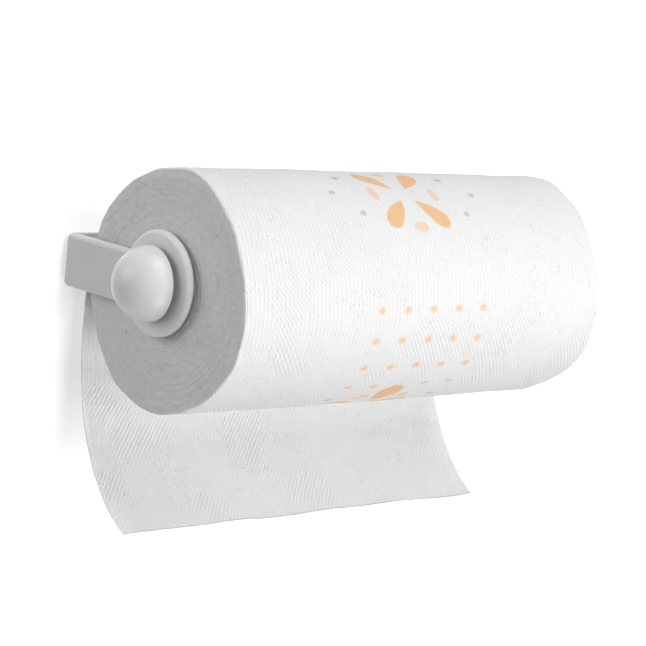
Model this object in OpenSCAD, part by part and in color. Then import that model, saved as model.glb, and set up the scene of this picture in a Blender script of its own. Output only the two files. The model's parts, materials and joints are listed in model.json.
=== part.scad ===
// Wall-mounted paper towel holder with a roll on it.
// Origin: middle of the back plate's wall face. +X runs along the roll, with the fixed arm at -X
// and the swinging arm at +X, +Y points into the wall and +Z points up. Lengths are in millimetres.

/* [Roll] */
// Length of the paper roll
roll_l = 279.4; // [200:0.1:300]
// Diameter of the paper roll
roll_d = 133.4; // [90:0.1:134]
// Inside diameter of the cardboard core
core_d = 43.5; // [41:0.1:46]
// Wall thickness of the cardboard core
core_t = 0.8; // [0.5:0.1:1.5]
// Length of towel that hangs free below the line where it leaves the roll
sheet_l = 157; // [60:1:200]
// Angle through which the hanging towel curls forward by its torn edge
sheet_curl = 62; // [20:1:80]

/* [Bracket] */
// Height of the back plate and of both arms
band_h = 30; // [28:0.5:32]
// Thickness of the back plate and of both arms
band_t = 4; // [4:0.1:4.4]
// Distance from the wall to the axis of the hubs
reach = 79.2; // [75.5:0.1:90]
// Outer radius of the bend between the back plate and the fixed arm
bend_r = 4.5; // [4.5:0.5:8]
// Rounding of the band's outer edges
edge_r = 3; // [1:0.1:3]
// Rounding of the band's inner edges
inner_edge_r = 0.8; // [0.5:0.1:0.9]
// Distance between the two wall screw holes
hole_pitch = 203.2; // [120:0.1:220]
// Radius of a wall screw hole
hole_r = 2.4; // [2:0.1:2.6]
// Radius of a wall screw hole's countersink at the front face
sink_r = 4.6; // [4:0.1:5]

/* [Hinge] */
// Angle that the swinging arm opens outward
arm_open = 35; // [25:1:40]
// Radius of the bracket's hinge knuckles
knuckle_r = 5; // [4.8:0.1:5]
// Radius of the hinge pin
pin_r = 2; // [1.5:0.1:2.2]
// Thickness of the spring's wire
wire_d = 1; // [0.8:0.1:1]
// Radius of the spring's coil to the middle of the wire
coil_r = 3.2; // [3.1:0.1:3.4]
// Whole turns in the spring, besides the quarter turn between its legs
coil_turns = 4; // [3:1:4]

/* [Hubs] */
// Radius of a hub's flange
flange_r = 28.6; // [26:0.1:32]
// Thickness of a hub's flange
flange_t = 3.1; // [3.1:0.05:4.5]
// Radius of a hub's spigot where it meets the flange
spigot_r = 17.2; // [15:0.1:18]
// Length of a hub's spigot
spigot_l = 15; // [10:0.5:16]
// Radius of the journal that turns in the arm
journal_r = 9; // [8:0.1:10]
// Radius of a knob at its base
knob_r = 20.3; // [20.2:0.1:24]
// Height of a knob
knob_h = 20.2; // [17:0.1:20.2]
// Wall thickness of a spigot and of a knob
wall = 2.2; // [1.8:0.1:2.5]

/* [Hidden] */
$fn = 96;

// Colours
white = [0.86, 0.86, 0.86];
nylon = [0.93, 0.92, 0.88];
steel = [0.70, 0.71, 0.73];
card = [0.72, 0.60, 0.45];
paper = [0.97, 0.97, 0.96];

// Clearances
gap = 0.3;           // between pieces that pass each other
run_fit = 0.05;      // of a pin or journal in its bore, on the radius
over = 1;            // how far a cutting solid runs past what it cuts

// Hub stack, measured outward along the hub axis from the middle of the holder
flange_in = roll_l / 2 + 3.6;            // inboard face of the flange
flange_out = flange_in + flange_t;       // outboard face of the flange
relief_x = flange_out + gap + 0.05;      // floor of the recess in the arm's inner face
relief_d = 1.3;                          // depth of that recess
arm_x = relief_x + band_t - relief_d;    // outer face of each arm
knob_base = arm_x + gap;                 // rim of the knob
rib_x = arm_x + 0.8;                     // ends of the knob's ribs and of the journal
spigot_tip = flange_in - spigot_l;
spigot_draft = 1;                        // how much the spigot narrows to its tip
flange_edge_out = 2.4;                   // rounding of the flange's outboard edge
flange_edge_in = 0.6;                    // rounding of the flange's inboard edge
rib_t = 1.6;

// Washers and screws
washer_r = 12;
washer_t = 0.8;
washer_seat = 0.6;                       // depth of the thrust washer's seat in the flange
wave_r = 13;
wave_t = 0.4;
screw_r = 1.9;
screw_head_r = 3.9;
screw_head_h = 2.4;
screw_l = 26;
boss_r = 5.5;
boss_l = 6;                              // screw boss inside the spigot
screw_tip = flange_in - boss_l + screw_l;

// Height that the core hangs below the hubs' axis, resting on the spigots
spigot_at_end = spigot_r - spigot_draft * (flange_in - roll_l / 2) / spigot_l;
drop = core_d / 2 - spigot_at_end - gap;

// Hinge
hinge_x = arm_x - knuckle_r;
hinge_y = -knuckle_r;
arm_knuckle_r = knuckle_r - gap;
knuckle_z = band_h / 2 - 5.9;            // inner end of each of the bracket's knuckles
arm_knuckle_low = gap - knuckle_z;
arm_knuckle_top = 2.5;
cheek_y = knuckle_r + 0.7;               // from the hinge axis to the full height of the arm
leg_l = 15;                              // length of each of the spring's legs
leg_low_z = arm_knuckle_top + 0.3 + wire_d / 2;
leg_high_z = knuckle_z - gap - wire_d / 2;
head_h = 1.2;
clip_z = -band_h / 2 - 0.65;             // underside of the retaining clip
clip_t = 0.4;
wire_sides = 8;
wire_steps = 20;                         // rings in each turn of the spring

// Hanging towel
sheet_t = 0.8;
sheet_lead = 6;                          // how far the sheet reaches above where it leaves
sheet_steps = 40;
sheet_y = roll_d / 2 + gap + sheet_t / 2;

// Cross-section of the band: x is the depth from its outer face, y runs across its height
module band_profile() {
    half = band_h / 2;
    translate([0, edge_r - half]) square([band_t, band_h - 2 * edge_r]);
    translate([edge_r, inner_edge_r - half])
        square([band_t - edge_r, band_h - 2 * inner_edge_r]);
    translate([edge_r, -half]) square([band_t - edge_r - inner_edge_r, band_h]);
    for (side = [0, 1]) mirror([0, side]) {
        translate([edge_r, half - edge_r]) intersection() {
            circle(edge_r);
            translate([-edge_r, 0]) square(edge_r);
        }
        translate([band_t - inner_edge_r, half - inner_edge_r]) circle(inner_edge_r);
    }
}

// Round end of an arm: a disc whose outer face lies at z = 0
module arm_end() {
    rotate_extrude() intersection() {
        mirror([1, -1]) band_profile();
        translate([0, -over]) square([band_h, band_t + 2 * over]);
    }
}

// A straight arm at -X that runs from y = -start to the hub axis, with its bore and recess
module left_arm(start) {
    difference() {
        union() {
            translate([-arm_x, -start, 0]) rotate([90, 0, 0])
                linear_extrude(reach - start) band_profile();
            translate([-arm_x, -reach, 0]) rotate([0, 90, 0]) arm_end();
        }
        translate([-arm_x - over, -reach, 0]) rotate([0, 90, 0])
            cylinder(r = journal_r + run_fit, h = band_t + 2 * over);
        translate([-relief_x, -reach, 0]) rotate([0, 90, 0])
            cylinder(r = flange_r + 1, h = relief_d + over);
    }
}

// A knuckle of the bracket, standing on z = 0 with its outer edge chamfered
module bracket_knuckle(h) {
    chamfer = 0.8;
    cylinder(r = knuckle_r, h = h - chamfer);
    translate([0, 0, h - chamfer])
        cylinder(r1 = knuckle_r, r2 = knuckle_r - chamfer, h = chamfer);
}

// The upper knuckle with its two stops: one holds the arm closed, the other ends its swing
module hinge_cheek() {
    h = band_h / 2 - knuckle_z;
    stop_h = h - 1.2;
    stop_t = 2.5;
    arm_inner = knuckle_r - band_t;
    bracket_knuckle(h);
    translate([arm_inner - gap - stop_t, -9.5, 0]) cube([stop_t, 5.5, stop_h]);
    rotate([0, 0, arm_open]) translate([2.6, gap - cheek_y, 0])
        cube([knuckle_r - 2.6, 4, stop_h]);
}

module wall_hole() {
    sink_d = 2.2;
    translate([0, over, 0]) rotate([90, 0, 0]) cylinder(r = hole_r, h = band_t + 2 * over);
    translate([0, -band_t + sink_d, 0]) rotate([90, 0, 0])
        cylinder(r1 = hole_r, r2 = sink_r, h = sink_d);
    translate([0, -band_t, 0]) rotate([90, 0, 0]) cylinder(r = sink_r, h = over);
}

module bracket() {
    groove_h = wire_d + 0.2;
    color(white) difference() {
        union() {
            left_arm(bend_r);
            translate([bend_r - arm_x, -bend_r, 0]) rotate([0, 0, 90]) rotate_extrude(angle = 90)
                translate([bend_r, 0]) mirror([1, 0]) band_profile();
            translate([bend_r - arm_x, 0, 0]) rotate([90, 0, 90])
                linear_extrude(hinge_x + arm_x - bend_r) mirror([1, 0]) band_profile();
            for (side = [0, 1])
                mirror([0, 0, side]) translate([hinge_x, hinge_y, knuckle_z]) hinge_cheek();
        }
        for (side = [-1, 1]) translate([side * hole_pitch / 2, 0, 0]) wall_hole();
        // room for the arm's knuckle and the spring
        translate([hinge_x, hinge_y, -knuckle_z])
            cylinder(r = knuckle_r + 0.4, h = 2 * knuckle_z);
        translate([hinge_x - 4.6, -band_t - over, -knuckle_z])
            cube([4.6 + over, band_t + 2 * over, 2 * knuckle_z]);
        translate([hinge_x, hinge_y, -band_h]) cylinder(r = pin_r + run_fit, h = 2 * band_h);
        // groove in the wall face for the spring's upper leg
        translate([hinge_x - leg_l - 0.5, hinge_y + coil_r - wire_d / 2 - 0.1,
            leg_high_z - groove_h / 2])
            cube([leg_l, knuckle_r, groove_h]);
    }
}

module right_arm() {
    groove_h = wire_d + 0.2;
    knuckle_h = arm_knuckle_top - arm_knuckle_low;
    color(white) difference() {
        union() {
            mirror([1, 0, 0]) left_arm(cheek_y - hinge_y);
            translate([hinge_x, hinge_y, arm_knuckle_low])
                cylinder(r = arm_knuckle_r, h = knuckle_h);
            translate([arm_x - band_t, hinge_y - cheek_y - over, arm_knuckle_low])
                cube([band_t, cheek_y + over, knuckle_h]);
        }
        translate([hinge_x, hinge_y, -band_h]) cylinder(r = pin_r + run_fit, h = 2 * band_h);
        // groove in the outer face for the spring's lower leg
        translate([hinge_x + coil_r - wire_d / 2 - 0.1, hinge_y - leg_l - 0.5,
            leg_low_z - groove_h / 2])
            cube([knuckle_r, leg_l, groove_h]);
    }
}

// Steel pin: domed head on the upper knuckle, groove for the clip below the lower one
module hinge_pin() {
    head_r = 3.6;
    tip = 0.4;
    end_z = clip_z - 1;
    dome_r = (head_r * head_r + head_h * head_h) / (2 * head_h);
    color(steel) translate([hinge_x, hinge_y, 0]) {
        difference() {
            union() {
                translate([0, 0, end_z + tip]) cylinder(r = pin_r, h = band_h / 2 - end_z - tip);
                translate([0, 0, end_z]) cylinder(r1 = pin_r - tip, r2 = pin_r, h = tip);
            }
            translate([0, 0, clip_z - 0.05]) difference() {
                cylinder(r = pin_r + over, h = clip_t + 0.1);
                cylinder(r = pin_r - 0.4, h = clip_t + 0.1);
            }
        }
        translate([0, 0, band_h / 2]) intersection() {
            translate([0, 0, head_h - dome_r]) sphere(dome_r);
            cylinder(r = head_r, h = head_h);
        }
    }
}

// Spring-steel clip that snaps into the pin's groove
module hinge_clip() {
    slot = 2.2;
    color(steel) translate([hinge_x, hinge_y, clip_z]) difference() {
        cylinder(r = 4, h = clip_t);
        translate([0, 0, -over]) cylinder(r = pin_r - 0.35, h = clip_t + 2 * over);
        translate([-slot / 2, -5, -over]) cube([slot, 5, clip_t + 2 * over]);
        for (turn = [60, 180, 300]) rotate([0, 0, turn + 30]) translate([2.4, 0, -over])
            cylinder(r = 0.7, h = clip_t + 2 * over);
    }
}

// Torsion spring: upper leg along the back plate, a clockwise coil, lower leg along the arm
coil_rings = wire_steps * coil_turns + wire_steps / 4;
function coil_point(i) = let(turn = 90 - 360 * i / wire_steps)
    [coil_r * cos(turn), coil_r * sin(turn), leg_high_z + (leg_low_z - leg_high_z) * i / coil_rings];
wire_line = concat([for (x = [-leg_l, -leg_l / 2]) [x, coil_r, leg_high_z]],
    [for (i = [0 : coil_rings]) coil_point(i)],
    [for (y = [-leg_l / 2, -leg_l]) [coil_r, y, leg_low_z]]);

function unit(v) = v / norm(v);
function heading(line, i) = unit(line[min(i + 1, len(line) - 1)] - line[max(i - 1, 0)]);

// A round wire along a line that stays nearly level
module wire(line, r, sides) {
    rings = len(line);
    points = [for (i = [0 : rings - 1])
        let(ahead = heading(line, i),
            across = unit(cross([0, 0, 1], ahead)),
            up = cross(ahead, across))
        for (k = [0 : sides - 1])
            line[i] + r * (cos(360 * k / sides) * across + sin(360 * k / sides) * up)];
    skin = [for (i = [0 : rings - 2], k = [0 : sides - 1]) let(next = (k + 1) % sides)
        [i * sides + k, (i + 1) * sides + k, (i + 1) * sides + next, i * sides + next]];
    start_cap = [for (k = [0 : sides - 1]) k];
    end_cap = [for (k = [sides - 1 : -1 : 0]) (rings - 1) * sides + k];
    polyhedron(points, concat(skin, [start_cap, end_cap]), convexity = 10);
}

module hinge_spring() {
    color(steel) translate([hinge_x, hinge_y, 0]) wire(wire_line, wire_d / 2, wire_sides);
}

// Stands a piece built outward along +Z on the hub axis at the right, or mirrors it to the left
module on_right() {
    translate([0, -reach, 0]) rotate([0, 90, 0]) children();
}

module on_left() {
    mirror([1, 0, 0]) on_right() children();
}

module flange_profile() {
    mid_out = flange_out - flange_edge_out;
    mid_in = flange_in + flange_edge_in;
    translate([0, flange_in]) square([flange_r - flange_edge_out, flange_t]);
    translate([0, flange_in]) square([flange_r - flange_edge_in, mid_out - flange_in]);
    translate([0, mid_in]) square([flange_r, mid_out - mid_in]);
    translate([flange_r - flange_edge_out, mid_out]) circle(flange_edge_out);
    translate([flange_r - flange_edge_in, mid_in]) circle(flange_edge_in);
}

// Flange, hollow spigot for the core and journal for the arm in one moulding
module hub() {
    tip_r = spigot_r - spigot_draft;
    chamfer = 1.1;
    seat_x = flange_out - washer_seat;
    color(white) difference() {
        union() {
            difference() {
                rotate_extrude() flange_profile();
                translate([0, 0, seat_x]) cylinder(r = washer_r + gap, h = washer_seat + over);
            }
            translate([0, 0, seat_x]) cylinder(r = journal_r, h = rib_x - seat_x);
            rotate_extrude() polygon([[tip_r - wall, spigot_tip], [tip_r - chamfer, spigot_tip],
                [tip_r, spigot_tip + chamfer], [spigot_r, flange_in], [spigot_r - wall, flange_in]]);
            translate([0, 0, flange_in - boss_l]) cylinder(r = boss_r, h = boss_l);
            for (turn = [0, 90]) rotate([0, 0, turn])
                translate([wall - spigot_r, -rib_t / 2, flange_in - boss_l - 2])
                    difference() {
                        cube([2 * (spigot_r - wall), rib_t, boss_l + 2]);
                        translate([spigot_r - wall - boss_r, -over, -over])
                            cube([2 * boss_r, rib_t + 2 * over, 2 + over]);
                    }
        }
        translate([0, 0, spigot_tip]) cylinder(r = screw_r + 0.3, h = rib_x - spigot_tip + over);
    }
}

module thrust_washer() {
    color(nylon) translate([0, 0, flange_out - washer_seat + run_fit]) difference() {
        cylinder(r = washer_r, h = washer_t);
        translate([0, 0, -over]) cylinder(r = journal_r + 0.15, h = washer_t + 2 * over);
    }
}

module wave_washer() {
    color(steel) translate([0, 0, (arm_x + rib_x - wave_t) / 2]) difference() {
        cylinder(r = wave_r, h = wave_t);
        translate([0, 0, -over]) cylinder(r = journal_r + 0.25, h = wave_t + 2 * over);
    }
}

// Domed knob: a hollow cap with ribs and a boss that take the screw
module knob() {
    ball_r = (knob_r * knob_r + knob_h * knob_h) / (2 * knob_h);
    ball_x = knob_base + knob_h - ball_r;
    color(white) difference() {
        union() {
            difference() {
                translate([0, 0, ball_x]) sphere(ball_r);
                translate([0, 0, ball_x]) sphere(ball_r - wall);
                translate([0, 0, knob_base - 2 * ball_r])
                    cylinder(r = 2 * ball_r, h = 2 * ball_r);
            }
            intersection() {
                translate([0, 0, ball_x]) sphere(ball_r - wall / 2);
                translate([0, 0, rib_x]) union() {
                    cylinder(r = boss_r, h = knob_h);
                    for (turn = [0, 90]) rotate([0, 0, turn])
                        translate([-knob_r, -rib_t / 2, 0]) cube([2 * knob_r, rib_t, knob_h]);
                }
            }
        }
        translate([0, 0, rib_x - over])
            cylinder(r = screw_r + run_fit, h = screw_tip + 0.9 - rib_x + over);
    }
}

// Pan-head screw from inside the spigot, through the hub and into the knob
module hub_screw() {
    head_x = flange_in - boss_l;
    recess = 0.9;
    color(steel) difference() {
        union() {
            translate([0, 0, head_x - 0.8]) cylinder(r = screw_head_r, h = 0.8);
            translate([0, 0, head_x - screw_head_h])
                cylinder(r1 = screw_head_r - 1.2, r2 = screw_head_r, h = screw_head_h - 0.8);
            translate([0, 0, head_x]) cylinder(r = screw_r, h = screw_l - 1.5);
            translate([0, 0, head_x + screw_l - 1.5]) cylinder(r1 = screw_r, r2 = 0.5, h = 1.5);
        }
        for (turn = [0, 90]) rotate([0, 0, turn])
            translate([-2.2, -recess / 2, head_x - screw_head_h - over])
                cube([4.4, recess, 1.3 + over]);
    }
}

module left_hub() { on_left() hub(); }
module left_thrust_washer() { on_left() thrust_washer(); }
module left_wave_washer() { on_left() wave_washer(); }
module left_knob() { on_left() knob(); }
module left_hub_screw() { on_left() hub_screw(); }
module right_hub() { on_right() hub(); }
module right_thrust_washer() { on_right() thrust_washer(); }
module right_wave_washer() { on_right() wave_washer(); }
module right_knob() { on_right() knob(); }
module right_hub_screw() { on_right() hub_screw(); }

// A tube along X on the roll's own axis
module roll_tube(inner, outer) {
    translate([-roll_l / 2, -reach, -drop]) rotate([0, 90, 0]) difference() {
        cylinder(r = outer, h = roll_l);
        translate([0, 0, -over]) cylinder(r = inner, h = roll_l + 2 * over);
    }
}

module core_tube() { color(card) roll_tube(core_d / 2, core_d / 2 + core_t); }
module paper_roll() { color(paper) roll_tube(core_d / 2 + core_t + run_fit, roll_d / 2); }

// The hanging towel turns forward with the square of the distance from where it leaves the roll
sheet_step = (sheet_l + sheet_lead) / sheet_steps;
function sheet_turn(s) = sheet_curl * pow(max(s, 0) / sheet_l, 2);
function sheet_at(i) = i * sheet_step - sheet_lead;
sheet_line = [for (i = 0, p = [sheet_y, sheet_lead]; i <= sheet_steps;
    p = p - sheet_step * [sin(sheet_turn(sheet_at(i + 0.5))), cos(sheet_turn(sheet_at(i + 0.5)))],
    i = i + 1) p];
function sheet_side(i, t) =
    let(turn = sheet_turn(sheet_at(i))) sheet_line[i] + t * [cos(turn), -sin(turn)];

module hanging_sheet() {
    color(paper) translate([-roll_l / 2, -reach, -drop]) rotate([90, 0, 90])
        linear_extrude(roll_l) polygon(concat(
            [for (i = [0 : sheet_steps]) sheet_side(i, sheet_t / 2)],
            [for (i = [sheet_steps : -1 : 0]) sheet_side(i, -sheet_t / 2)]));
}

bracket();
right_arm();
hinge_pin();
hinge_clip();
hinge_spring();
left_hub();
left_thrust_washer();
left_wave_washer();
left_knob();
left_hub_screw();
right_hub();
right_thrust_washer();
right_wave_washer();
right_knob();
right_hub_screw();
core_tube();
paper_roll();
hanging_sheet();
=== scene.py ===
import json
import math

import bpy
import numpy as np
from mathutils import Matrix, Vector


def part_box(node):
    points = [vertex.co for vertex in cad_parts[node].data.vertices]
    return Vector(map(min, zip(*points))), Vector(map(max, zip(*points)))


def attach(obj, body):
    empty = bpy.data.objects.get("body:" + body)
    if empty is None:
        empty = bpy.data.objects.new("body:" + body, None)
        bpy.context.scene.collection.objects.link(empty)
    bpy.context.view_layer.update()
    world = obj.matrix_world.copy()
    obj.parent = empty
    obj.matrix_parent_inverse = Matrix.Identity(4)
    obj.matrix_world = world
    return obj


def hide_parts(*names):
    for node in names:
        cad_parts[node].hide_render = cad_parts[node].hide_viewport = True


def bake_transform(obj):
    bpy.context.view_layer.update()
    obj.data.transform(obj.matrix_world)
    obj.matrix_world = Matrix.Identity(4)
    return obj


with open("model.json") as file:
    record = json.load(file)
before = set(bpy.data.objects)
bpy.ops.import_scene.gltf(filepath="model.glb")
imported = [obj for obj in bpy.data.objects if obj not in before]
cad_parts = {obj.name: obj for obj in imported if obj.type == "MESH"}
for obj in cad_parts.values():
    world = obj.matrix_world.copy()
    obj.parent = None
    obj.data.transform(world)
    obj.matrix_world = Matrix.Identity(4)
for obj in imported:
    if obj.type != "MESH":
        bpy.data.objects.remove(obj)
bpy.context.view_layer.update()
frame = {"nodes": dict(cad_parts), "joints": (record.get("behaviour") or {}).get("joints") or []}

# Metres throughout. +X runs along the roll, +Y into the wall, +Z up.

MM = 0.001
TO_MM = 1000

ROLL_LOW, ROLL_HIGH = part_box("paper_roll")
CORE_LOW, CORE_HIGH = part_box("core_tube")
KNOB_LOW, KNOB_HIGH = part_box("left_knob")
SPRING_LOW, SPRING_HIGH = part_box("hinge_spring")

ROLL_AXIS = (ROLL_LOW + ROLL_HIGH) / 2
ROLL_R = (ROLL_HIGH.z - ROLL_LOW.z) / 2
CORE_R = (CORE_HIGH.z - CORE_LOW.z) / 2
HUB_HEIGHT = (KNOB_LOW.z + KNOB_HIGH.z) / 2
HALF_LENGTH = ROLL_HIGH.x

SHEET_PITCH = 157 * MM            # length of one printed and perforated sheet of towel
PLY_T = 0.5 * MM                  # the towel's thickness
ROLL_RIM = 1.5 * MM               # rounding of the wound roll's edges
FREE_LENGTH = SHEET_PITCH
WRAP_LENGTH = 12 * MM             # how far the free sheet still lies on the roll above where it leaves
RIB_PITCH = 1.45                  # of the crepe, in millimetres
# How the free sheet hangs at its -X and at its +X side: the angle of its torn edge, how much
# of the turning is left to that edge, and how far it first leans to the wall.
HANG_LEFT = np.array([math.radians(66), 2.0, 0.10])
HANG_RIGHT = np.array([math.radians(57), 1.62, 0.28])


# ---------------------------------------------------------------- meshes

def grid_faces(rows, columns, wrap_rows=False, wrap_columns=False):
    """Quads over a grid of points numbered row by row."""
    r = np.arange(rows if wrap_rows else rows - 1)[:, None]
    c = np.arange(columns if wrap_columns else columns - 1)[None, :]
    r_next, c_next = (r + 1) % rows, (c + 1) % columns
    corners = [r * columns + c, r * columns + c_next, r_next * columns + c_next, r_next * columns + c]
    return np.stack([np.broadcast_to(q, (r.size, c.size)) for q in corners], axis=-1).reshape(-1, 4)


def make_mesh(name, points, faces, uvs=None, face_materials=None, materials=()):
    """A smooth mesh object. faces is an array of quads, or a list where their sizes differ.
    uvs has one (u, v) for each corner of each face, in the faces' order."""
    mesh = bpy.data.meshes.new(name)
    faces = faces if isinstance(faces, list) else faces.tolist()
    mesh.from_pydata(np.asarray(points).reshape(-1, 3).tolist(), [], faces)
    for material in materials:
        mesh.materials.append(material)
    if face_materials is not None:
        mesh.polygons.foreach_set("material_index", np.asarray(face_materials, np.int32))
    if uvs is not None:
        layer = mesh.uv_layers.new(name="towel")
        layer.data.foreach_set("uv", np.asarray(uvs, np.float32).ravel())
    mesh.polygons.foreach_set("use_smooth", np.ones(len(mesh.polygons), bool))
    mesh.validate()
    mesh.update()
    piece = bpy.data.objects.new(name, mesh)
    bpy.context.scene.collection.objects.link(piece)
    return piece


def hills(points, seed, wavelength, count=14):
    """Smooth random hills, mostly from -1 to 1, at points in space."""
    rng = np.random.default_rng(seed)
    total = np.zeros(points.shape[:-1])
    for _ in range(count):
        way = rng.normal(size=3)
        way *= 2 * math.pi / (wavelength * rng.uniform(0.7, 1.4) * np.linalg.norm(way))
        total += np.cos(points @ way + rng.uniform(0, 2 * math.pi))
    return total / math.sqrt(count / 2) / 1.5


def around_roll(x, radius, turn):
    """Points round the roll's axis. A turn of 0 faces the room, and a quarter turn is the top."""
    return np.stack(np.broadcast_arrays(
        x, ROLL_AXIS.y - radius * np.cos(turn), ROLL_AXIS.z + radius * np.sin(turn)), axis=-1)


# ---------------------------------------------------------------- materials

class Field:
    """A number at every point of a surface, made of Math nodes, so that a pattern reads as a formula."""

    def __init__(self, tree, socket):
        self.tree, self.socket = tree, socket

    def math(self, operation, *values):
        node = self.tree.nodes.new("ShaderNodeMath")
        node.operation = operation
        for slot, value in zip(node.inputs, values):
            if isinstance(value, Field):
                self.tree.links.new(value.socket, slot)
            else:
                slot.default_value = value
        return Field(self.tree, node.outputs[0])

    def __add__(self, other):
        return self.math("ADD", self, other)

    def __radd__(self, other):
        return self.math("ADD", other, self)

    def __sub__(self, other):
        return self.math("SUBTRACT", self, other)

    def __rsub__(self, other):
        return self.math("SUBTRACT", other, self)

    def __mul__(self, other):
        return self.math("MULTIPLY", self, other)

    def __truediv__(self, other):
        return self.math("DIVIDE", self, other)

    def power(self, other):
        return self.math("POWER", self, other)

    def at_most(self, other):
        return self.math("MINIMUM", self, other)

    def at_least(self, other):
        return self.math("MAXIMUM", self, other)

    def size(self):
        return self.math("ABSOLUTE", self)

    def sine(self, period):
        return self.math("SINE", self * (2 * math.pi / period))

    def floor(self):
        return self.math("FLOOR", self)

    def modulo(self, period):
        return self.math("FLOORED_MODULO", self, period)

    def distance(self, other):
        """How far the place (self, other) is from the origin."""
        return (self * self + other * other).power(0.5)

    def angle(self, ahead):
        """The angle of the place that lies ahead on the first axis and self up the second."""
        return self.math("ARCTAN2", self, ahead)

    def wrap(self, half):
        """This value brought into -half to half by whole periods."""
        return self.math("WRAP", self, half, -half)

    def rise(self, start, end):
        """0 below start, 1 above end and a smooth step between them."""
        node = self.tree.nodes.new("ShaderNodeMapRange")
        node.interpolation_type = "SMOOTHSTEP"
        node.inputs["From Min"].default_value = start
        node.inputs["From Max"].default_value = end
        self.tree.links.new(self.socket, node.inputs["Value"])
        return Field(self.tree, node.outputs["Result"])

    def fall(self, start, end):
        return 1 - self.rise(start, end)


class Finish:
    """One procedural material: its shader, its coordinates and what drives its colour, gloss and relief."""

    def __init__(self, name, rough, metal=0.0, **constants):
        self.material = bpy.data.materials.new(name)
        self.material.use_nodes = True
        self.tree = self.material.node_tree
        self.shader = self.tree.nodes["Principled BSDF"]
        self.shader.inputs["Roughness"].default_value = rough
        self.shader.inputs["Metallic"].default_value = metal
        for socket, value in constants.items():
            self.shader.inputs[socket.replace("_", " ")].default_value = value
        self.place = self.tree.nodes.new("ShaderNodeTexCoord").outputs["Object"]

    def split(self, vector):
        node = self.tree.nodes.new("ShaderNodeSeparateXYZ")
        self.tree.links.new(vector, node.inputs[0])
        return [Field(self.tree, out) for out in node.outputs]

    def towel(self):
        """(place across the towel, place along the towel) in millimetres, from its UV map in metres."""
        node = self.tree.nodes.new("ShaderNodeUVMap")
        node.uv_map = "towel"
        across, along, _ = self.split(node.outputs[0])
        return across * TO_MM, along * TO_MM

    def join(self, x, y, z):
        node = self.tree.nodes.new("ShaderNodeCombineXYZ")
        for slot, value in zip(node.inputs, (x, y, z)):
            if isinstance(value, Field):
                self.tree.links.new(value.socket, slot)
            else:
                slot.default_value = value
        return node.outputs[0]

    def noise(self, scale, detail=3.0, vector=None, rough=0.55):
        node = self.tree.nodes.new("ShaderNodeTexNoise")
        node.inputs["Scale"].default_value = scale
        node.inputs["Detail"].default_value = detail
        node.inputs["Roughness"].default_value = rough
        self.tree.links.new(vector or self.place, node.inputs["Vector"])
        return Field(self.tree, node.outputs["Fac"])

    def cells(self, scale, vector):
        node = self.tree.nodes.new("ShaderNodeTexVoronoi")
        node.inputs["Scale"].default_value = scale
        self.tree.links.new(vector, node.inputs["Vector"])
        return Field(self.tree, node.outputs["Distance"])

    def colour(self, plain, *layers):
        """plain, with each (colour, field) laid over it where its field is 1."""
        out = None
        for over, cover in layers:
            node = self.tree.nodes.new("ShaderNodeMix")
            node.data_type = "RGBA"
            if out is None:
                node.inputs["A"].default_value = (*plain, 1)
            else:
                self.tree.links.new(out, node.inputs["A"])
            node.inputs["B"].default_value = (*over, 1)
            self.tree.links.new(cover.socket, node.inputs["Factor"])
            out = node.outputs["Result"]
        self.tree.links.new(out, self.shader.inputs["Base Color"])

    def roughness(self, field):
        self.tree.links.new(field.socket, self.shader.inputs["Roughness"])

    def relief(self, height):
        """Bump from a height in millimetres."""
        node = self.tree.nodes.new("ShaderNodeBump")
        node.inputs["Distance"].default_value = MM
        node.inputs["Strength"].default_value = 1.0
        self.tree.links.new(height.socket, node.inputs["Height"])
        self.tree.links.new(node.outputs["Normal"], self.shader.inputs["Normal"])


def grey(level):
    return level, level, level


def towel_relief(finish, across, along):
    """Height in millimetres: crepe ribs round the roll, fibre, and patches of slanting hatch and of dots."""
    hatch_pitch, hatch_across, hatch_along = 2.3, 0.77, 0.64
    flat = finish.join(across, along, 0.0)
    swayed = across + finish.noise(0.03, 2, flat) * 3.0
    ribs = swayed.sine(RIB_PITCH) * (0.2 + finish.noise(0.16, 2, flat)) * 0.09
    broad = swayed.sine(2 * RIB_PITCH) * finish.noise(0.12, 1, flat) * 0.07
    hatched = finish.noise(0.022, 1, flat).rise(0.48, 0.62)
    hatch = (across * hatch_across + along * hatch_along).sine(hatch_pitch) * hatched * 0.09
    dotted = finish.noise(0.04, 1, flat).rise(0.4, 0.62)
    dimples = finish.cells(0.30, flat).fall(0.05, 0.35) * dotted * -0.22
    fibre = finish.noise(1.4, 5, flat, 0.7) * 0.22
    return (ribs + broad + hatch + dimples) * 1.15 + fibre


def ahead_aside(reach, turn):
    """How far ahead and how far aside a place lies, from its distance and its angle off straight ahead."""
    return reach * turn.math("COSINE", turn), reach * turn.math("SINE", turn)


def petals(angle, reach, half_gap, first, start, end, width):
    """A ring of teardrop petals, narrow towards the middle of the flower."""
    ahead, aside = ahead_aside(reach, (angle - first).wrap(half_gap))
    way = ((ahead - start) / (end - start)).at_least(0.0).at_most(1.0)
    half_width = width * way.power(0.9) * (1 - way * way).power(0.5)
    inside = (half_width - aside.size()).rise(-0.35, 0.6)
    return inside * ahead.rise(start, start + 0.5) * ahead.fall(end - 0.2, end + 0.2)


def ovals(angle, reach, half_gap, distance, half_length, half_width):
    """A ring of ovals that lie across the way out from the middle of the flower."""
    ahead, aside = ahead_aside(reach, angle.wrap(half_gap))
    ahead, aside = (ahead - distance) / half_width, aside / half_length
    return (ahead * ahead + aside * aside).fall(0.75, 1.15)


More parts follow.
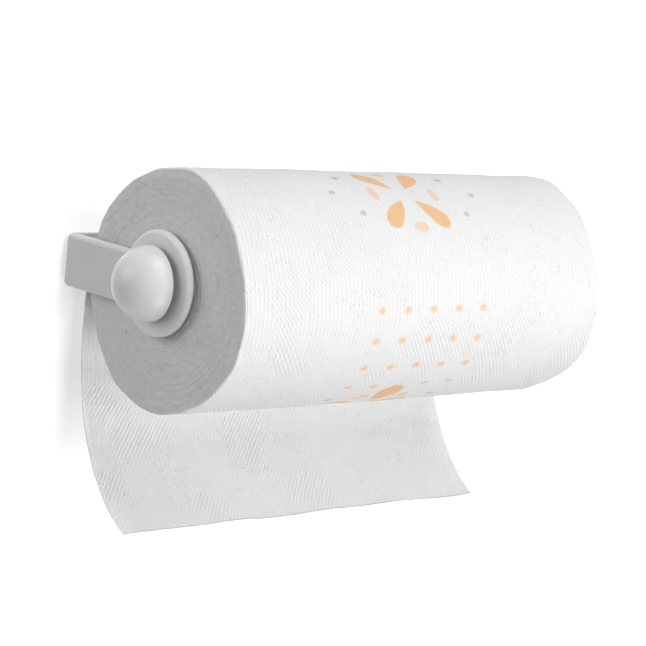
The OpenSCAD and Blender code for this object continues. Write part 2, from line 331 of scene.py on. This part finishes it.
def towel_print(finish, across, along):
    """Masks of a generic print on each sheet: (strong petals, pale petals and dots, grey marks).
    Places and sizes are in millimetres. Flowers are one sheet apart, and every other one is turned."""
    flower_at, print_aside = 71.0, 1.6
    dot_column, dot_row, dot_row_at = 20.0, 17.5, flower_at - 71.2
    dots_start, dots_end, dots_half_width, clear_of_flower = 4.0, 94.0, 47.0, 34.0
    blur = 1.0
    near_mark, far_mark, mark_squash = (41, 15), (55, 0), 1.6
    pitch = SHEET_PITCH / MM
    eighth = math.pi / 4

    across = across + print_aside
    flat = finish.join(across, along, 0.0)
    down = (along - flower_at).wrap(pitch / 2)
    feather = finish.noise(0.55, 3, flat) * 2.4 - 1.2
    reach = across.distance(down) + feather
    odd = ((along - flower_at) / pitch + 0.5).floor().modulo(2.0)
    angle = down.angle(across) + odd * eighth
    large = petals(angle, reach, half_gap=eighth, first=eighth, start=7.0, end=32.5, width=odd * 5.5 + 11.4)
    small = ovals(angle, reach, half_gap=eighth, distance=23.5, half_length=5.6, half_width=3.4)

    column = across.wrap(dot_column / 2) * 0.74
    row = (along - dot_row_at).wrap(dot_row / 2)
    rough = finish.noise(0.8, 3, flat) * 1.6 - 0.8
    dot = (column.distance(row) + rough).fall(0.9, 3.0)
    past_flower = (along - flower_at).modulo(pitch)
    lattice = (past_flower.rise(dots_start, dots_start + blur) * past_flower.fall(dots_end, dots_end + blur)
               * across.size().fall(dots_half_width, dots_half_width + blur))
    dots = dot * lattice * reach.rise(clear_of_flower, clear_of_flower + blur)

    def from_mark(place):
        aside, off = across.size() - place[0], down.size() - place[1]
        return (aside * aside + off * off * mark_squash).power(0.5)

    marks = (from_mark(near_mark).at_most(from_mark(far_mark)) + feather).fall(1.6, 3.0)
    return large, small.at_least(dots * 1.4), marks


def towel_finish(name, printed, tone):
    """Creped paper. tone is its lightness: the free sheet is painted lighter than the wound roll, as painted
    light for the light that one layer gets through the paper and off the wall.
    """
    finish = Finish(name, rough=0.93, Specular_IOR_Level=0.25, Sheen_Weight=0.08, Sheen_Roughness=0.6)
    across, along = finish.towel()
    flat = finish.join(across, along, 0.0)
    height = towel_relief(finish, across, along)
    # Painted shade: the paper is coloured darker in the low places of its relief, where the crepe's hollows
    # would be shaded.
    layers = [(grey(0.86 * tone), height.fall(-0.05, 0.24) * 0.85)]
    if printed:
        large, pale, marks = towel_print(finish, across, along)
        ink = 0.78 + finish.noise(0.9, 3, flat) * 0.35
        screen = across.sine(RIB_PITCH) * along.sine(1.6) * 0.16 + 0.88
        layers += [((0.77, 0.44, 0.20), (large * ink * screen * 1.05).at_most(1.0)),
                   ((0.80, 0.50, 0.28), (pale * ink * screen * 0.72).at_most(1.0)),
                   ((0.40, 0.37, 0.35), marks * ink * 0.6)]
    finish.colour(grey(tone), *layers)
    finish.relief(height)
    return finish.material


def wound_edge_finish():
    """The cut ends of the roll: rings of thin layers, fluffed by the blade. Its darker rings, the light and
    dark of its fluff and its dark nicks are painted light and shade.
    """
    finish = Finish("wound_edge", rough=0.95, Specular_IOR_Level=0.2, Sheen_Weight=0.1)
    _, y, z = finish.split(finish.place)
    y, z = (y - ROLL_AXIS.y) * TO_MM, (z - ROLL_AXIS.z) * TO_MM
    rings = finish.join(y.distance(z), z.angle(y) * 3.0, 0.0)
    layers = finish.noise(1.1, 3, rings)
    # Painted light and shade: the fluff's colour is lighter where its relief is raised and darker in its
    # hollows.
    fluff_and_painted_shading = finish.noise(700, 5, rough=0.7)
    blots = finish.noise(90, 2)
    # Painted shade: the nicks are dented in the relief and coloured dark, as if shaded inside.
    nicks_with_painted_shade = finish.noise(240, 2).rise(0.73, 0.79)
    # Painted shade: the darker rings stand in for the shade in the gaps between the wound layers.
    finish.colour(grey(0.80),
                  (grey(0.62), layers.rise(0.45, 0.75) * 0.5),
                  (grey(0.92), fluff_and_painted_shading.rise(0.5, 0.75) * 0.6),
                  (grey(0.60), fluff_and_painted_shading.fall(0.25, 0.5) * 0.6),
                  (grey(0.70), blots.rise(0.5, 0.8) * 0.4),
                  (grey(0.30), nicks_with_painted_shade * 0.5))
    finish.relief(layers * 0.16 + fluff_and_painted_shading * 0.5 - nicks_with_painted_shade * 0.5)
    return finish.material


def plastic_finish(name, tone, parting_height=None):
    """Moulded white plastic: soft clouding, a very fine grain and, where it has one, a mould line with a
    painted highlight along it.
    """
    finish = Finish(name, rough=0.34, Specular_IOR_Level=0.5, Coat_Weight=0.12, Coat_Roughness=0.22)
    cloud = finish.noise(60, 3)
    grain = finish.noise(1400, 2)
    height = grain * 0.006 + finish.noise(130, 2) * 0.05
    layers = [(grey(0.94 * tone), cloud.rise(0.35, 0.75) * 0.5)]
    if parting_height is not None:
        _, _, z = finish.split(finish.place)
        seam = ((z - parting_height) * TO_MM).size().fall(0.06, 0.3)
        height = height + seam * 0.06
        # Painted highlight: the mould line is coloured lighter than the plastic, as if its raised ridge
        # caught the light.
        layers.append((grey(1.1 * tone), seam * 0.6))
    finish.colour(grey(tone), *layers)
    finish.roughness(0.30 + cloud * 0.10 + grain * 0.06)
    finish.relief(height)
    return finish.material


def nylon_finish():
    finish = Finish("nylon", rough=0.42, Subsurface_Weight=0.15, Subsurface_Scale=0.002)
    grain = finish.noise(700, 3)
    finish.colour((0.86, 0.84, 0.78), ((0.78, 0.75, 0.68), grain.rise(0.4, 0.8) * 0.5))
    finish.relief(grain * 0.02)
    return finish.material


def steel_finish(name, tone, rough, stretch):
    """Drawn or stamped steel: fine lines along one way, a few dull patches."""
    finish = Finish(name, rough=rough, metal=0.95)
    x, y, z = finish.split(finish.place)
    lines = finish.noise(900, 4, finish.join(x * stretch[0], y * stretch[1], z * stretch[2]))
    patches = finish.noise(250, 3)
    dull = tuple(0.72 * t for t in tone)
    finish.colour(tone, (dull, patches.rise(0.45, 0.8) * 0.6),
                  (tuple(min(1, 1.12 * t) for t in tone), lines.rise(0.5, 0.8) * 0.4))
    finish.roughness(rough - 0.06 + lines * 0.12 + patches * 0.08)
    finish.relief(lines * 0.02)
    return finish.material


def card_finish():
    """Grey-brown board wound in a spiral, with its butt seam and pressed fibres."""
    finish = Finish("core_card", rough=0.9, Specular_IOR_Level=0.2)
    x, y, z = finish.split(finish.place)
    turn = (z - ROLL_AXIS.z).angle(y - ROLL_AXIS.y)
    lead = 74 * MM
    seam = ((x - turn * (lead / (2 * math.pi))).wrap(lead / 2) * TO_MM).size().fall(0.25, 0.7)
    fibre = finish.noise(700, 5)
    flecks = finish.noise(260, 2)
    finish.colour((0.50, 0.40, 0.29),
                  ((0.62, 0.52, 0.40), fibre.rise(0.35, 0.7) * 0.7),
                  ((0.33, 0.26, 0.19), flecks.rise(0.62, 0.75) * 0.6),
                  ((0.25, 0.19, 0.13), seam * 0.8))
    finish.relief(fibre * 0.06 - seam * 0.3)
    return finish.material


# ---------------------------------------------------------------- pieces

def outline(turn, x):
    """The roll's radius against a true circle's: four soft corners, from being packed tight with others."""
    mean, taper, first_corner = 0.999, 0.003, 1.33
    side = x / HALF_LENGTH
    corners = 0.012 + 0.008 * side ** 2
    return mean + taper * side + corners * np.cos(4 * turn + first_corner)


def build_roll(outer, edge):
    """The wound paper as one closed ring: bore, end faces of stacked layers, soft rims and outer layer."""
    rim = ROLL_RIM
    spokes, rings, rim_steps, lengths = 420, 64, 6, 190
    dented_length = 9 * MM            # how far in from each end the handling dents reach
    sunk = 0.35 * MM                  # how far the end faces lie in from the CAD roll's

    ring_radii = np.linspace(CORE_R + 0.1 * MM, ROLL_R - rim, rings)
    bend = np.linspace(0, math.pi / 2, rim_steps + 2)[1:-1]
    left_r = np.concatenate([ring_radii, ROLL_R - rim + rim * np.sin(bend)])
    left_x = np.concatenate([np.full(rings, -HALF_LENGTH), -HALF_LENGTH + rim - rim * np.cos(bend)])
    middle_x = np.linspace(-HALF_LENGTH + rim, HALF_LENGTH - rim, lengths)
    profile_r = np.concatenate([left_r, np.full(lengths, ROLL_R), left_r[::-1]])
    profile_x = np.concatenate([left_x, middle_x, -left_x[::-1]])
    columns = len(profile_x)

    turn = np.linspace(-math.pi, math.pi, spokes, endpoint=False)[:, None]
    points = around_roll(profile_x[None, :], profile_r[None, :], turn)

    share = ((profile_r - CORE_R) / (ROLL_R - CORE_R))[None, :]
    radius = profile_r[None, :] * (1 + (outline(turn, profile_x[None, :]) - 1) * share)
    from_end = HALF_LENGTH - np.abs(profile_x)
    near_end = np.clip(1 - from_end / dented_length, 0, 1)[None, :] ** 2
    radius = radius + share * (hills(points, 1, 60 * MM) * 0.25 * MM + hills(points, 2, 11 * MM) * 0.09 * MM
                               + near_end * hills(points, 3, 26 * MM) * 0.55 * MM)

    ring_step = np.random.default_rng(5).normal(0, 0.10 * MM, rings)
    ring_steps = np.concatenate([ring_step, np.zeros(columns - 2 * rings), -ring_step[::-1]])
    on_face = np.clip((np.abs(profile_x) - (HALF_LENGTH - rim)) / rim, 0, 1)[None, :]
    dents = hills(points, 7, 24 * MM) * 0.28 * MM + hills(points, 8, 5 * MM) * 0.08 * MM
    along = profile_x[None, :] - ring_steps[None, :] - np.sign(profile_x)[None, :] * on_face * (sunk + dents)

    points = around_roll(along, radius, turn)
    faces = grid_faces(spokes, columns, wrap_rows=True, wrap_columns=True)

    u = np.append(profile_x, profile_x[0])
    v = np.append(turn[:, 0], math.pi) * ROLL_R
    r = np.arange(spokes)[:, None]
    c = np.arange(columns)[None, :]
    corner_uv = [np.stack(np.broadcast_arrays(u[c + dc], v[r + dr]), axis=-1)
                 for dr, dc in ((0, 0), (0, 1), (1, 1), (1, 0))]
    uvs = np.stack(corner_uv, axis=2).reshape(-1, 2)
    # The outer layer reaches halfway round each rim, and the rest is cut edge.
    first = rings + rim_steps // 2
    is_edge = (c < first) | (c >= columns - 1 - first)
    is_edge = np.broadcast_to(is_edge, (spokes, columns)).reshape(-1)
    piece = make_mesh("wound_roll", points, faces, uvs, is_edge, (outer, edge))
    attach(piece, "roll")
    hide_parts("paper_roll")


def sheet_path(distance, curl, hook, kick):
    """(y, z) of the free sheet's middle and the angle it has turned, below where it leaves the roll.
    A larger hook leaves more of the turning to the torn edge. kick is how far it first leans to the wall."""
    steps, kick_length = 400, 14 * MM
    s = np.linspace(0, FREE_LENGTH, steps)
    turned = curl * (s / FREE_LENGTH) ** hook - kick * np.exp(-(s / kick_length))
    halfway = (turned[1:] + turned[:-1]) / 2
    y = -np.concatenate([[0], np.cumsum(np.diff(s) * np.sin(halfway))])
    z = -np.concatenate([[0], np.cumsum(np.diff(s) * np.cos(halfway))])
    return np.interp(distance, s, y), np.interp(distance, s, z), np.interp(distance, s, turned)


def build_sheet(printed, plain):
    """The free towel: it lies on the roll's back, hangs and curls towards the room. Its printed side is the
    one that faced outwards on the roll."""
    columns, rows = 187, 118
    lift = PLY_T / 2 + 0.15 * MM      # of its middle off the roll, and below the roll's surface where it ends
    tear, tooth, tooth_pitch = 0.5 * MM, 0.25 * MM, 5.6 * MM
    still_length = 8 * MM             # over which the small creases begin
    x = np.linspace(-HALF_LENGTH, HALF_LENGTH, columns)
    s = np.linspace(-WRAP_LENGTH, FREE_LENGTH, rows)
    on_roll = s < 0
    middle = np.zeros((rows, columns, 3))
    normal = np.zeros((rows, columns, 3))
    torn = tear * hills(np.stack([x, 0 * x, 0 * x], axis=-1), 21, 50 * MM)
    torn = torn + tooth * (np.cos(2 * math.pi * x / tooth_pitch) > 0.4)
    wrapped = np.minimum(s, 0) / ROLL_R
    for j in range(columns):
        curl, hook, kick = HANG_LEFT + (HANG_RIGHT - HANG_LEFT) * j / (columns - 1)
        stretch = np.where(s > 0, 1 + torn[j] / FREE_LENGTH, 1.0)
        y, z, turned = sheet_path(np.maximum(s, 0) * stretch, curl, hook, kick)
        hug = np.where(on_roll, lift * (1 + 2.0 * s / WRAP_LENGTH), lift)
        rim = np.clip(1 - (HALF_LENGTH - abs(x[j])) / ROLL_RIM, 0, 1)
        hug = hug - on_roll * ROLL_RIM * (1 - np.sqrt(1 - rim ** 2))
        radius = (ROLL_R + hug) * outline(np.pi + wrapped, x[j])
        middle[:, j, 0] = x[j]
        middle[:, j, 1] = ROLL_AXIS.y + np.where(on_roll, radius * np.cos(wrapped), radius[-1] + y)
        middle[:, j, 2] = ROLL_AXIS.z + np.where(on_roll, -radius * np.sin(wrapped), z)
        normal[:, j, 1] = np.where(on_roll, np.cos(wrapped), np.cos(turned))
        normal[:, j, 2] = np.where(on_roll, -np.sin(wrapped), -np.sin(turned))
    flat = np.stack(np.broadcast_arrays(x[None, :], s[:, None], 0.0), axis=-1)
    free = np.clip(s / FREE_LENGTH, 0, 1)[:, None]
    begun = np.clip(s / still_length, 0, 1)[:, None]
    billow = free * (hills(flat, 31, 90 * MM) * 0.9 * MM) + begun * (hills(flat, 32, 14 * MM) * 0.12 * MM)
    middle += normal * billow[:, :, None]

    wall_side = middle + normal * PLY_T / 2
    room_side = middle - normal * PLY_T / 2
    count = rows * columns
    quads = grid_faces(rows, columns)
    top = np.arange(columns - 1)
    bottom = top + (rows - 1) * columns
    left = np.arange(rows - 1) * columns
    right = left + columns - 1
    rims = [np.stack([a, a + step, a + step + count, a + count], axis=-1)
            for a, step in ((top, 1), (bottom, 1), (left, columns), (right, columns))]
    faces = np.concatenate([quads[:, ::-1], quads + count] + rims)
    points = np.concatenate([wall_side.reshape(-1, 3), room_side.reshape(-1, 3)])
    arc = math.pi * ROLL_R + s
    place = np.stack(np.broadcast_arrays(x[None, :], arc[:, None]), axis=-1).reshape(-1, 2)
    uvs = np.concatenate([place, place])[faces.reshape(-1)]
    is_plain = np.arange(len(faces)) >= len(quads)
    piece = make_mesh("free_towel", points, faces, uvs, is_plain, (printed, plain))
    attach(piece, "holder")
    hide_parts("hanging_sheet")


def build_spring(finish):
    """The hinge's torsion spring as round wire, along the same line as its CAD node.
    It is one fixed mesh, which does not move with the arm."""
    wire_r, coil_r, turns = 0.5 * MM, 3.2 * MM, 4.25
    steps, sides = 150, 14
    wire_share = 0.98                 # of the CAD wire's radius
    joint = next(j for j in frame["joints"] if j["name"] == "arm_swing")
    hinge = Vector(joint["pos_m"])
    leg_x, leg_y = hinge.x - SPRING_LOW.x, hinge.y - SPRING_LOW.y
    high, low = SPRING_HIGH.z - wire_r, SPRING_LOW.z + wire_r
    t = np.linspace(0, 1, steps)
    turn = math.pi / 2 - 2 * math.pi * turns * t
    coil = np.stack([coil_r * np.cos(turn), coil_r * np.sin(turn), high + (low - high) * t], axis=-1)
    into = [[-leg_x * k, coil_r, high] for k in (1, 0.66, 0.33)]
    away = [[coil_r, -leg_y * k, low] for k in (0.33, 0.66, 1)]
    line = np.concatenate([into, coil, away]) + [hinge.x, hinge.y, 0]

    ahead = np.gradient(line, axis=0)
    ahead /= np.linalg.norm(ahead, axis=1, keepdims=True)
    across = np.cross([0, 0, 1.0], ahead)
    across /= np.linalg.norm(across, axis=1, keepdims=True)
    up = np.cross(ahead, across)
    k = 2 * math.pi * np.arange(sides) / sides
    ring = np.cos(k)[None, :, None] * across[:, None] + np.sin(k)[None, :, None] * up[:, None]
    points = line[:, None] + wire_r * wire_share * ring
    faces = grid_faces(len(line), sides, wrap_columns=True).tolist()
    faces += [list(range(sides)), [(len(line) - 1) * sides + i for i in reversed(range(sides))]]
    piece = make_mesh("spring_wire", points, faces, materials=(finish,))
    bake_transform(piece)
    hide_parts("hinge_spring")


def finish_node(node, material):
    mesh = frame["nodes"][node].data
    mesh.materials.clear()
    mesh.materials.append(material)


# ---------------------------------------------------------------- stage

def add_camera():
    """Looks along the roll from its left end, a little above it, with the horizon tilted slightly."""
    azimuth, elevation, tilt = math.radians(-43.43), math.radians(9.18), math.radians(6.34)
    distance, slide_right, slide_up = 1.1812, -0.0179, -0.0207
    focal_length = 114.1
    right = Vector((math.cos(azimuth), math.sin(azimuth), 0))
    ahead = Vector((-math.sin(azimuth) * math.cos(elevation),
                    math.cos(azimuth) * math.cos(elevation), -math.sin(elevation)))
    up = right.cross(ahead)
    right, up = (right * math.cos(tilt) + up * math.sin(tilt),
                 up * math.cos(tilt) - right * math.sin(tilt))
    camera = bpy.data.objects.new("camera", bpy.data.cameras.new("camera"))
    bpy.context.scene.collection.objects.link(camera)
    camera.data.lens = focal_length
    camera.data.clip_start = 50 * MM
    turn = Matrix((right, up, -ahead)).transposed().to_4x4()
    place = ROLL_AXIS - ahead * distance + right * slide_right + up * slide_up
    camera.matrix_world = Matrix.Translation(place) @ turn
    bpy.context.scene.camera = camera


def add_softbox(name, azimuth, elevation, side, strength):
    """A square light aimed at the roll. Azimuth 0 is the room side, and 90 the +X side.
    strength is the share of white that it alone gives a facing surface."""
    distance = 1.7
    a, e = math.radians(azimuth), math.radians(elevation)
    way = Vector((math.sin(a) * math.cos(e), -math.cos(a) * math.cos(e), math.sin(e)))
    light = bpy.data.lights.new(name, "AREA")
    light.shape = "SQUARE"
    light.size = side
    light.energy = strength * math.pi ** 2 * distance ** 2
    lamp = bpy.data.objects.new(name, light)
    bpy.context.scene.collection.objects.link(lamp)
    lamp.location = ROLL_AXIS + way * distance
    lamp.rotation_euler = way.to_track_quat("Z", "Y").to_euler()


def add_world(fill):
    """White all round: bright to look at and to shine in the gloss, and as dim as fill to light by."""
    world = bpy.data.worlds.new("studio")
    bpy.context.scene.world = world
    world.use_nodes = True
    tree = world.node_tree
    tree.nodes["Background"].inputs["Color"].default_value = (1, 1, 1, 1)
    path = tree.nodes.new("ShaderNodeLightPath")
    level = tree.nodes.new("ShaderNodeMapRange")
    level.inputs["To Min"].default_value = fill
    level.inputs["To Max"].default_value = 1.0
    seen = tree.nodes.new("ShaderNodeMath")
    seen.operation = "MAXIMUM"
    tree.links.new(path.outputs["Is Camera Ray"], seen.inputs[0])
    tree.links.new(path.outputs["Is Glossy Ray"], seen.inputs[1])
    tree.links.new(seen.outputs[0], level.inputs["Value"])
    tree.links.new(level.outputs["Result"], tree.nodes["Background"].inputs["Strength"])


def stage_material(name, albedo, glow):
    """Matt white that glows a little, and that is clear from behind, so that the back can be looked at."""
    material = bpy.data.materials.new(name)
    material.use_nodes = True
    tree = material.node_tree
    shader = tree.nodes["Principled BSDF"]
    shader.inputs["Base Color"].default_value = (albedo, albedo, albedo, 1)
    shader.inputs["Roughness"].default_value = 1.0
    shader.inputs["Specular IOR Level"].default_value = 0.0
    shader.inputs["Emission Color"].default_value = (1, 1, 1, 1)
    shader.inputs["Emission Strength"].default_value = glow
    clear = tree.nodes.new("ShaderNodeBsdfTransparent")
    mix = tree.nodes.new("ShaderNodeMixShader")
    side = tree.nodes.new("ShaderNodeNewGeometry")
    tree.links.new(side.outputs["Backfacing"], mix.inputs[0])
    tree.links.new(shader.outputs[0], mix.inputs[1])
    tree.links.new(clear.outputs[0], mix.inputs[2])
    tree.links.new(mix.outputs[0], tree.nodes["Material Output"].inputs["Surface"])
    return material


def add_stage():
    """A wall just behind the back plate and a floor below. Both are only there to be looked at."""
    wall_y, floor_z, half, height, depth = 0.6 * MM, -0.75, 2.2, 1.6, 3
    corners = {
        "wall": [(-half, wall_y, floor_z), (half, wall_y, floor_z),
                 (half, wall_y, height), (-half, wall_y, height)],
        "floor": [(-half, -depth, floor_z), (half, -depth, floor_z),
                  (half, depth, floor_z), (-half, depth, floor_z)]}
    material = stage_material("stage_white", albedo=0.92, glow=0.36)
    for name, points in corners.items():
        piece = make_mesh(name, points, [(0, 1, 2, 3)], materials=(material,))
        piece.visible_diffuse = piece.visible_glossy = piece.visible_transmission = False
        piece.visible_shadow = False


add_camera()
add_world(fill=0.26)
add_softbox("top_softbox", azimuth=-5, elevation=70, side=0.8, strength=0.39)
add_softbox("upper_softbox", azimuth=8, elevation=42, side=1.0, strength=0.38)
add_softbox("front_softbox", azimuth=14, elevation=2, side=0.7, strength=0.29)
add_softbox("low_softbox", azimuth=10, elevation=-42, side=1.2, strength=0.66)
add_softbox("side_softbox", azimuth=-118, elevation=18, side=1.0, strength=0.29)
add_softbox("back_softbox", azimuth=165, elevation=0, side=1.2, strength=0.14)
add_stage()

wound_towel = towel_finish("wound_towel", printed=True, tone=0.775)
# Painted light: the free sheet is the same paper as the roll, given a lighter tone for light through it and
# off the wall.
free_towel_front = towel_finish("free_towel_front", printed=True, tone=0.98)
free_towel_back = towel_finish("free_towel_back", printed=False, tone=0.98)
bracket_plastic = plastic_finish("bracket_plastic", tone=0.67)
# Painted light: the hub is the same white plastic, given a lighter tone to make up for the shade the knob
# throws on its flange.
hub_plastic = plastic_finish("hub_plastic", tone=0.80, parting_height=HUB_HEIGHT)
knob_plastic = plastic_finish("knob_plastic", tone=0.70, parting_height=HUB_HEIGHT)
zinc_steel = steel_finish("zinc_steel", tone=(0.66, 0.67, 0.69), rough=0.32, stretch=(1, 1, 8))
spring_steel = steel_finish("spring_steel", tone=(0.45, 0.46, 0.48), rough=0.30, stretch=(1, 1, 6))
nylon = nylon_finish()

build_roll(wound_towel, wound_edge_finish())
build_sheet(free_towel_front, free_towel_back)
build_spring(spring_steel)

finish_node("bracket", bracket_plastic)
finish_node("right_arm", bracket_plastic)
finish_node("core_tube", card_finish())
finish_node("hinge_pin", zinc_steel)
finish_node("hinge_clip", spring_steel)
for end in ("left", "right"):
    finish_node(f"{end}_hub", hub_plastic)
    finish_node(f"{end}_knob", knob_plastic)
    finish_node(f"{end}_hub_screw", zinc_steel)
    finish_node(f"{end}_wave_washer", spring_steel)
    finish_node(f"{end}_thrust_washer", nylon)

bpy.context.scene.view_settings.view_transform = "Standard"
